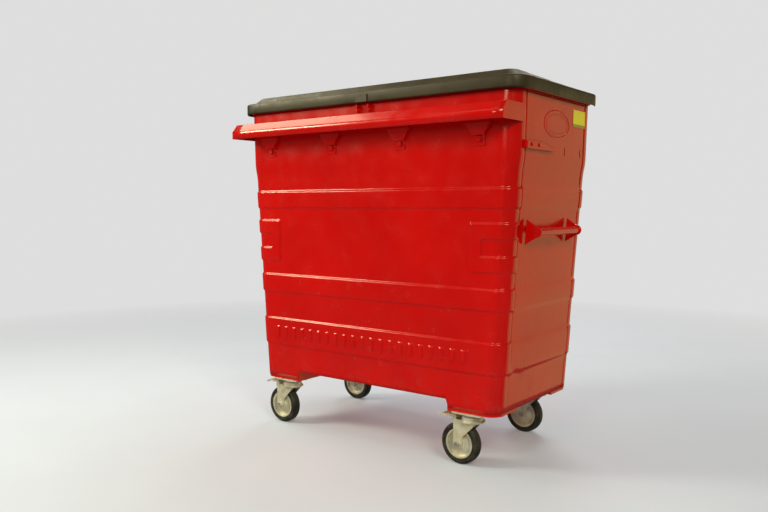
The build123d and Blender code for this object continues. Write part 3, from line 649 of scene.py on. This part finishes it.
def sidePanelMesh(side):
    # flat wall between the seams with the bands, two slots and a diagonal crease near its foot
    shape = sideShape
    columns = spacedLine(sideLow.y, sideHigh.y, shape["columnStep"], shape["slotY"],
                         *shape["columnFine"])[None, :]
    slotEnds = [shape["slotZ"] - shape["slotHeight"] / 2, shape["slotZ"] + shape["slotHeight"] / 2]
    slotRows = spacedLine(slotEnds[0] - shape["slotMargin"], slotEnds[1] + shape["slotMargin"],
                          shape["slotStep"], slotEnds, *shape["slotFine"])
    rows = np.unique(np.concatenate([bodyRows(), slotRows]))[:, None]
    y = columns + 0 * rows
    z = rows + 0 * columns
    start, stop = np.array(shape["creaseFrom"]), np.array(shape["creaseTo"])
    run = (stop - start) / np.linalg.norm(stop - start)
    along = (y - start[0]) * run[0] + (z - start[1]) * run[1]
    across = (y - start[0]) * -run[1] + (z - start[1]) * run[0]
    ends = proudBetween(along, 0.0, np.linalg.norm(stop - start), shape["creaseFade"])
    crease = shape["creaseDepth"] * np.exp(-(across / shape["creaseWidth"]) ** 2) * ends
    x = side * (halfWidthAt(z) - bandInset(z, shape["ledge"]) - shape["recess"] - crease)
    middleY = (y[:-1, :-1] + y[1:, 1:]) / 2
    middleZ = (z[:-1, :-1] + z[1:, 1:]) / 2
    kept = np.ones(middleY.shape, bool)
    for slotY in shape["slotY"]:
        straight = (shape["slotHeight"] - shape["slotWidth"]) / 2
        away = np.hypot(middleY - slotY, np.maximum(np.abs(middleZ - shape["slotZ"]) - straight, 0))
        kept &= away > shape["slotWidth"] / 2
    return gridMesh("side", np.stack([x, y, z], axis=-1), kept=kept)


ovalShape = {
    "centreY": bodyCentre[1],
    "centreZ": 1.203,
    "half": (0.1025, 0.0465),
    "inner": (0.0860, 0.0330),
    "innerShare": 0.6,
    "proud": 0.0026,
    "sink": 0.0006,
    "lineWidth": 0.0085,
    "turns": 96,
    "acrossSteps": 9,
}


def ovalRing(side, half, proud, lineWidth):
    # half-round bead on the leaning wall, along the ellipse y = a cos t, z = b sin t
    turns = np.linspace(0, 2 * np.pi, ovalShape["turns"] + 1)[:-1][:, None]
    across = np.linspace(-1, 1, ovalShape["acrossSteps"])[None, :]
    y = ovalShape["centreY"] + half[0] * np.cos(turns) * (1 + across * lineWidth / 2 / half[0])
    z = ovalShape["centreZ"] + half[1] * np.sin(turns) * (1 + across * lineWidth / 2 / half[1])
    rise = proud * np.sqrt(np.clip(1 - across ** 2, 0, 1)) - ovalShape["sink"]
    x = side * (halfWidthAt(z) - sideShape["recess"] + rise)
    return gridMesh("ring", np.stack([x, y, z], axis=-1), closedRows=True)


for side, hand in ((-1, "left"), (1, "right")):
    addPiece("sidePanel." + hand, sidePanelMesh(side), "red_paint", "bin",
             ("side_panel_" + hand,), wall=bodyShape["sheet"], centre=bodyCentre)
    rings = [ovalRing(side, ovalShape["half"], ovalShape["proud"], ovalShape["lineWidth"]),
             ovalRing(side, ovalShape["inner"], ovalShape["proud"] * ovalShape["innerShare"],
                      ovalShape["lineWidth"] * ovalShape["innerShare"])]
    addPiece("ovalBadge." + hand, joinedMesh("oval", rings), "red_paint", "bin", centre=bodyCentre)
print("body panels made")


pipShape = {
    "from": -0.470,
    "to": 0.430,
    "count": 21,
    "z": 0.393,
    "half": (0.0110, 0.0260),
    "proud": 0.0042,
    "sink": 0.0002,
    "steps": (11, 15),
    "squareness": (4, 6),
}


def pressedPips():
    # a row of plain upright pips on the lowest band: each a low squarish dome whose rise falls
    # from 1 as (1 - u^4)(1 - v^6), with u and v running from -1 to 1 across and up it
    shape = pipShape
    u = np.sin(np.linspace(-np.pi / 2, np.pi / 2, shape["steps"][0]))[None, :]
    v = np.sin(np.linspace(-np.pi / 2, np.pi / 2, shape["steps"][1]))[:, None]
    rise = shape["proud"] * (1 - u ** shape["squareness"][0]) * (1 - v ** shape["squareness"][1])
    rise = rise - shape["sink"]
    meshes = []
    for x in np.linspace(shape["from"], shape["to"], shape["count"]):
        z = shape["z"] + v * shape["half"][1] + 0 * u
        y = endAt(z, -1) - rise
        meshes.append(gridMesh("pip", np.stack([x + u * shape["half"][0] + 0 * v, y, z], axis=-1)))
    return joinedMesh("pips", meshes)


addPiece("pressedPips", pressedPips(), "red_paint", "bin", centre=bodyCentre)


barLow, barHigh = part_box("comb_bar")
barShape = {
    "chamfer": 0.024,
    "crease": 1.218,
    "bends": (0.007, 0.020),
    "wall": 0.003,
    "overlap": 0.0005,
    "step": 0.05,
    "sharp": 60.0,
}


def roundedPath(corners, radii, steps=6):
    # open path through the corners with each inner corner turned by an arc of its radius
    corners = np.array(corners, float)
    path = [corners[:1]]
    for before, corner, after, radius in zip(corners[:-2], corners[1:-1], corners[2:], radii):
        toBefore = (before - corner) / np.linalg.norm(before - corner)
        toAfter = (after - corner) / np.linalg.norm(after - corner)
        opening = np.arccos(np.clip(toBefore @ toAfter, -1, 1))
        tangent = radius / np.tan(opening / 2)
        bisector = (toBefore + toAfter) / np.linalg.norm(toBefore + toAfter)
        middle = corner + bisector * radius / np.sin(opening / 2)
        first, last = corner + toBefore * tangent - middle, corner + toAfter * tangent - middle
        share = np.linspace(0, 1, steps + 1)[:, None]
        sweep = np.pi - opening
        path.append(middle + (np.sin((1 - share) * sweep) * first + np.sin(share * sweep) * last)
                    / np.sin(sweep))
    path.append(corners[-1:])
    return np.concatenate(path)


def combBarMesh():
    # bent section carried along x: top, slope down to the crease, and upright front lip
    shape = barShape
    wall = float(endAt(np.array(barHigh.z), -1)) + shape["overlap"]
    section = roundedPath([
        (wall, barHigh.z),
        (barLow.y + shape["chamfer"], barHigh.z),
        (barLow.y, shape["crease"]),
        (barLow.y, barLow.z),
    ], shape["bends"])
    x = spacedLine(barLow.x, barHigh.x, shape["step"])
    points = np.stack([x[:, None] + 0 * section[None, :, 0], section[None, :, 0] + 0 * x[:, None],
                       section[None, :, 1] + 0 * x[:, None]], axis=-1)
    return gridMesh("bar", points)


addPiece("combBar", combBarMesh(), "red_paint", "bin", ("comb_bar",), wall=barShape["wall"],
         centre=bodyCentre, sharp=barShape["sharp"])


lidLow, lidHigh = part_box("lid")
lidShape = {
    "corner": 0.066,
    "wall": 0.0045,
    "deck": 1.340,
    "skirtLow": 1.296,
    "rearSkirtLow": 1.316,
    "domeFront": 1.3675,
    "domeRear": 1.3555,
    "domeBase": 0.028,
    "domeTop": 0.054,
    "domeCorner": 0.020,
    "toeIn": 0.0015,
    "toeHeight": 0.006,
    "topRun": 0.060,
    "bends": (0.002, 0.008, 0.006, 0.012),
    "innerFrom": 0.075,
    "innerRings": 9,
    "foldGap": 0.0001,
    "foldMerge": 0.0006,
    "cornerShrink": 0.05,
    "cornerSteps": 11,
    "sideSteps": (0.05, 0.1),
    "rearFrom": 0.030,
    "rearBlend": 0.020,
    "skirtTop": 0.008,
}


def lidMesh():
    # rings of one rounded rectangle, each with its inset and height, from the skirt's lower
    # edge up over the deck and the dome, and on until the last ring folds flat along the middle
    shape = lidShape
    halfX = lidHigh.x
    front, rear = lidLow.y, lidHigh.y
    middleY, halfY = (front + rear) / 2, (rear - front) / 2
    profile = roundedPath([
        (shape["toeIn"], shape["skirtLow"]),
        (0.0, shape["skirtLow"] + shape["toeHeight"]),
        (0.0, shape["deck"]),
        (shape["domeBase"], shape["deck"]),
        (shape["domeTop"], shape["domeFront"]),
        (shape["domeTop"] + shape["topRun"], shape["domeFront"]),
    ], shape["bends"], 6)
    inner = np.linspace(shape["domeTop"] + shape["innerFrom"], halfY - shape["foldGap"],
                        shape["innerRings"])
    insets = np.concatenate([profile[:, 0], inner])
    heights = np.concatenate([profile[:, 1], np.full(len(inner), shape["domeFront"])])
    angles = np.radians(np.linspace(0, 90, shape["cornerSteps"]))
    acrossX, acrossY = [spacedLine(-1, 1, step) for step in shape["sideSteps"]]
    skirtTop = shape["deck"] - shape["skirtTop"]
    rings = []
    for inset, height in zip(insets, heights):
        grow = smoothStep((inset - shape["domeBase"]) / (shape["domeTop"] - shape["domeBase"]))
        radius = max(shape["corner"] - inset + shape["domeCorner"] * grow, 0.0004)
        radius = min(radius, halfY - inset)
        if inset > shape["domeTop"]:
            radius = max(min(shape["corner"] + shape["domeCorner"] - shape["domeTop"]
                             - (inset - shape["domeTop"]) * shape["cornerShrink"],
                             halfY - inset - 2 * shape["foldGap"]), shape["foldGap"])
        spanX, spanY = halfX - inset - radius, halfY - inset - radius
        right = np.stack([np.full(len(acrossY), spanX + radius), acrossY * spanY], axis=1)[:-1]
        rearRun = np.stack([-acrossX * spanX, np.full(len(acrossX), spanY + radius)], axis=1)[:-1]
        left = np.stack([np.full(len(acrossY), -spanX - radius), -acrossY * spanY], axis=1)[:-1]
        frontRun = np.stack([acrossX * spanX, np.full(len(acrossX), -spanY - radius)], axis=1)[:-1]
        arc = np.stack([np.cos(angles), np.sin(angles)], axis=1) * radius
        corners = []
        for signX, signY, flip in ((1, 1, False), (-1, 1, True), (-1, -1, False), (1, -1, True)):
            bend = arc[::-1] if flip else arc
            corners.append((bend * (signX, signY) + (signX * spanX, signY * spanY))[:-1])
        plan = np.concatenate([right, corners[0], rearRun, corners[1], left, corners[2], frontRun,
                               corners[3]])
        backShare = (plan[:, 1] + halfY) / (2 * halfY)
        slope = (shape["domeFront"] - shape["domeRear"]) * backShare
        lift = (height - shape["deck"]) / (shape["domeFront"] - shape["deck"])
        z = height - slope * max(lift, 0.0)
        # the skirt is shorter along the rear, between its corners
        shorter = smoothStep((plan[:, 1] - halfY + inset + shape["rearFrom"]) / shape["rearBlend"])
        lowest = shape["skirtLow"] + (shape["rearSkirtLow"] - shape["skirtLow"]) * shorter
        inSkirt = np.clip((skirtTop - height) / (skirtTop - shape["skirtLow"]), 0, 1)
        z = z + (lowest - shape["skirtLow"]) * inSkirt
        rings.append(np.column_stack([plan[:, 0], middleY + plan[:, 1], z]))
    mesh = gridMesh("lid", np.stack(rings), closedColumns=True)
    closeUp(mesh, shape["foldMerge"])
    return mesh


addPiece("lidShell", lidMesh(), "lid_plastic", "lid", ("lid",), wall=lidShape["wall"],
         centre=(0.0, (lidLow.y + lidHigh.y) / 2, lidLow.z - 0.1))
print("lid made")


wheelShape = {
    "turns": 72,
    "tyreSide": 0.0200,
    "tyreDepth": 0.021,
    "discRim": 0.0180,
    "bead": 0.0178,
    "wallStart": (0.003, 0.0012),  # height above the bead, and how far inside the wall
    "tyreShoulder": (0.007, 0.008),  # depth below the tread, and run across it
    "tyreRounds": (0.0004, 0.0015, 0.004, 0.006),
    "hub": (0.0121, 0.0178, 0.0208),  # bore, outside and half width
    "webFoot": (0.0190, 0.0125),
    "webEdge": (0.016, 0.0075),  # depth below the disc's edge and half width, here and below
    "webTurn": (0.0075, 0.0105),
    "rimDepth": 0.0060,
    "discGap": 0.0001,
    "discRounds": (0.0004, 0.001, 0.004, 0.004, 0.0018, 0.0008, 0.0002),
}


def revolved(name, profile, centre):
    # closed profile of (radius, y) turned about the axle
    profile = np.array(profile)
    turns = np.linspace(0, 2 * np.pi, wheelShape["turns"] + 1)[:-1][:, None]
    x = centre[0] + profile[None, :, 0] * np.cos(turns)
    z = centre[2] + profile[None, :, 0] * np.sin(turns)
    y = centre[1] + profile[None, :, 1] + 0 * turns
    return gridMesh(name, np.stack([x, y, z], axis=-1), closedRows=True, closedColumns=True)


def roundedLoop(corners, radii, steps=4):
    # closed path through the corners, each turned by its own radius
    ring = [corners[-1]] + list(corners) + [corners[0]]
    path = roundedPath(ring, radii, steps)
    return path[1:-1]


def mirroredLoop(side, rounds):
    # closed section from the corners of one half, mirrored about the wheel's middle plane
    return roundedLoop([(radius, -across) for radius, across in side] + side[::-1],
                       rounds + rounds[::-1])


def tyreProfile(outer, shape):
    # tyre's section: slightly narrower bead, near-flat walls, flat tread with sloped shoulders
    inner = outer - shape["tyreDepth"]
    half = shape["tyreSide"]
    wallRise, wallInset = shape["wallStart"]
    shoulderDepth, shoulderRun = shape["tyreShoulder"]
    return mirroredLoop([
        (inner, shape["bead"]), (inner + wallRise, half - wallInset),
        (outer - shoulderDepth, half), (outer, half - shoulderRun),
    ], shape["tyreRounds"])


def discProfile(outer, shape):
    # pressed disc's section: hub, web that thins outward, and a rim under the tyre
    bore, hubOuter, hubHalf = shape["hub"]
    edge = outer - shape["discGap"]
    return mirroredLoop([
        (bore, hubHalf), (hubOuter, hubHalf), shape["webFoot"],
        (outer - shape["webEdge"][0], shape["webEdge"][1]),
        (outer - shape["webTurn"][0], shape["webTurn"][1]),
        (outer - shape["rimDepth"], shape["discRim"]), (edge, shape["discRim"]),
    ], shape["discRounds"])


for cornerName in cornerNames:
    low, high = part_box("tyre_" + cornerName)
    wheelCentre = ((low.x + high.x) / 2, (low.y + high.y) / 2, (low.z + high.z) / 2)
    outer = (high.z - low.z) / 2
    addPiece("tyreRing." + cornerName, revolved("tyre", tyreProfile(outer, wheelShape), wheelCentre),
             "tyre_black", "wheel_" + cornerName, ("tyre_" + cornerName,), centre=wheelCentre)
    addPiece("wheelDisc." + cornerName,
             revolved("disc", discProfile(outer - wheelShape["tyreDepth"], wheelShape), wheelCentre),
             "zinc_plated", "wheel_" + cornerName, ("wheel_disc_" + cornerName,), centre=wheelCentre)
print("wheels made")


bevelWidths = {
    "comb_bar_ends": 0.0010,
    "comb_brackets": 0.0016,
    "striker_lugs": 0.0012,
    "grab_rail_left": 0.0008,
    "grab_rail_right": 0.0008,
    "rail_brackets_left": 0.0014,
    "rail_brackets_right": 0.0014,
    "side_lug_left": 0.0026,
    "side_lug_right": 0.0026,
    "body_bolts": 0.0010,
    "rim_frame": 0.0030,
    "floor_channels": 0.0010,
    "hinge_brackets": 0.0012,
    "lid_knuckles": 0.0012,
    "rod_caps": 0.0016,
    "lid_tongue": 0.0012,
    "drain_plug": 0.0012,
    "castor_bolts": 0.0007,
    "kingpins": 0.0008,
    "rating_label": 0.0002,
}
for cornerName in cornerNames:
    bevelWidths["foot_" + cornerName] = 0.0014
    bevelWidths["castor_plate_" + cornerName] = 0.0010
    bevelWidths["castor_fork_" + cornerName] = 0.0012
    bevelWidths["axle_bolt_" + cornerName] = 0.0009
for cornerName in cornerNames[:2]:
    bevelWidths["brake_pedal_" + cornerName] = 0.0012
for nodeName, width in bevelWidths.items():
    softened(nodeName, width)
print("rolled edges:", len(bevelWidths))


studio = {
    "floorSize": 9.0,
    "floorRings": 40,
    "floorTurns": 64,
    "floorRoughness": 0.75,
    "floorMottle": 0.96,
    "floorColour": (0.60, 0.68, 0.92, 1.0),
    "floorGlow": (0.70, 0.70, 0.705, 1.0),
    "glowStrength": 0.16,
    "fadeFrom": 1.4,
    "fadeTo": 4.6,
    "backdrop": (0.735, 0.730, 0.730, 1.0),
    "fill": (0.50, 0.47, 0.36, 1.0),
    "fillStrength": 0.20,
}


def makeFloor():
    # flat disc whose finish fades out into the backdrop
    rings = np.linspace(0.0, studio["floorSize"], studio["floorRings"])[:, None]
    turns = np.linspace(0, 2 * np.pi, studio["floorTurns"] + 1)[:-1][None, :]
    points = np.stack([rings * np.cos(turns), rings * np.sin(turns), 0 * rings * turns], axis=-1)
    mesh = gridMesh("floor", points, closedColumns=True)
    closeUp(mesh)
    floor = bpy.data.objects.new("floor", mesh)
    bpy.context.scene.collection.objects.link(floor)
    floor.visible_glossy = False
    material, tree, shader = newMaterial("pale floor")
    darker = tuple(studio["floorMottle"] * part for part in studio["floorColour"][:3]) + (1.0,)
    tone = ramp(tree, noiseOn(tree, 2.0, 3.0), [(0.3, studio["floorColour"]), (0.7, darker)])
    tree.links.new(tone, shader.inputs["Base Color"])
    shader.inputs["Roughness"].default_value = studio["floorRoughness"]
    shader.inputs["Emission Color"].default_value = studio["floorGlow"]
    shader.inputs["Emission Strength"].default_value = studio["glowStrength"]
    coords = tree.nodes.new("ShaderNodeTexCoord")
    length = tree.nodes.new("ShaderNodeVectorMath")
    length.operation = "LENGTH"
    tree.links.new(coords.outputs["Object"], length.inputs[0])
    clear = tree.nodes.new("ShaderNodeBsdfTransparent")
    mix = tree.nodes.new("ShaderNodeMixShader")
    fade = mapRange(tree, length.outputs["Value"], (studio["fadeFrom"], studio["fadeTo"]),
                    (0.0, 1.0))
    tree.links.new(fade, mix.inputs["Fac"])
    tree.links.new(shader.outputs["BSDF"], mix.inputs[1])
    tree.links.new(clear.outputs["BSDF"], mix.inputs[2])
    tree.links.new(mix.outputs["Shader"], tree.nodes["Material Output"].inputs["Surface"])
    mesh.materials.append(material)


def makeWorld():
    # pale backdrop to look at, and a dimmer fill for everything that it lights
    world = bpy.data.worlds.new("studio")
    bpy.context.scene.world = world
    world.use_nodes = True
    tree = world.node_tree
    fill = tree.nodes["Background"]
    fill.inputs["Color"].default_value = studio["fill"]
    fill.inputs["Strength"].default_value = studio["fillStrength"]
    seen = tree.nodes.new("ShaderNodeBackground")
    seen.inputs["Color"].default_value = studio["backdrop"]
    path = tree.nodes.new("ShaderNodeLightPath")
    mix = tree.nodes.new("ShaderNodeMixShader")
    tree.links.new(path.outputs["Is Camera Ray"], mix.inputs["Fac"])
    tree.links.new(fill.outputs["Background"], mix.inputs[1])
    tree.links.new(seen.outputs["Background"], mix.inputs[2])
    tree.links.new(mix.outputs["Shader"], tree.nodes["World Output"].inputs["Surface"])


softboxes = {
    # name: place, aimed at, size, watts, colour
    "overheadLeft": ((-2.9, -0.45, 3.6), (-0.3, -0.35, 1.2), (2.0, 1.6), 50, (1.0, 0.94, 0.66)),
    "overheadFront": ((0.2, -1.8, 3.7), (0.0, -0.2, 0.9), (3.6, 1.2), 10, (1.0, 0.93, 0.68)),
    "overheadRear": ((0.4, 1.6, 3.8), (0.0, 0.2, 1.0), (2.4, 1.4), 30, (1.0, 0.95, 0.80)),
    "frontLeft": ((-3.1, -2.7, 2.6), (0.1, -0.2, 0.7), (1.2, 1.0), 108, (1.0, 0.92, 0.62)),
    "front": ((0.9, -4.6, 2.2), (0.0, -0.3, 0.8), (1.4, 0.8), 40, (1.0, 0.92, 0.62)),
    "frontRight": ((3.6, -2.6, 3.1), (0.6, 0.0, 0.6), (1.4, 1.2), 88, (1.0, 0.90, 0.58)),
    "warmSide": ((2.6, 4.0, 0.3), (0.6, 0.0, 0.7), (4.6, 3.6), 32, (1.0, 0.78, 0.32)),
    "behind": ((-1.4, 3.6, 2.6), (0.0, 0.0, 0.8), (2.0, 1.6), 50, (1.0, 0.95, 0.80)),
}


def pointAt(thing, place, target):
    # puts a lamp at its place with its face towards the target
    thing.location = place
    thing.rotation_euler = (Vector(target) - Vector(place)).to_track_quat("-Z", "Y").to_euler()


def makeLights():
    # one soft rectangular lamp for each entry above
    for name, (place, target, size, watts, colour) in softboxes.items():
        light = bpy.data.lights.new(name, "AREA")
        light.shape = "RECTANGLE"
        light.size, light.size_y = size
        light.energy = watts
        light.color = colour
        lamp = bpy.data.objects.new(name, light)
        bpy.context.scene.collection.objects.link(lamp)
        lamp.visible_camera = False
        pointAt(lamp, place, target)


cameraShape = {
    "place": (1.788, -2.510, 0.912),
    "azimuth": 37.47,
    "pitch": -3.71,
    "lens": 35.5,
    "sensor": 36.0,
}


def makeCamera():
    # camera at its place, turned by its azimuth and tipped by its pitch
    camera = bpy.data.cameras.new("camera")
    camera.lens = cameraShape["lens"]
    camera.sensor_width = cameraShape["sensor"]
    eye = bpy.data.objects.new("camera", camera)
    bpy.context.scene.collection.objects.link(eye)
    eye.location = cameraShape["place"]
    eye.rotation_euler = (math.radians(90 + cameraShape["pitch"]), 0.0,
                          math.radians(cameraShape["azimuth"]))
    bpy.context.scene.camera = eye


makeFloor()
makeWorld()
makeLights()
makeCamera()
bpy.context.scene.view_settings.view_transform = "Standard"
print("studio made")
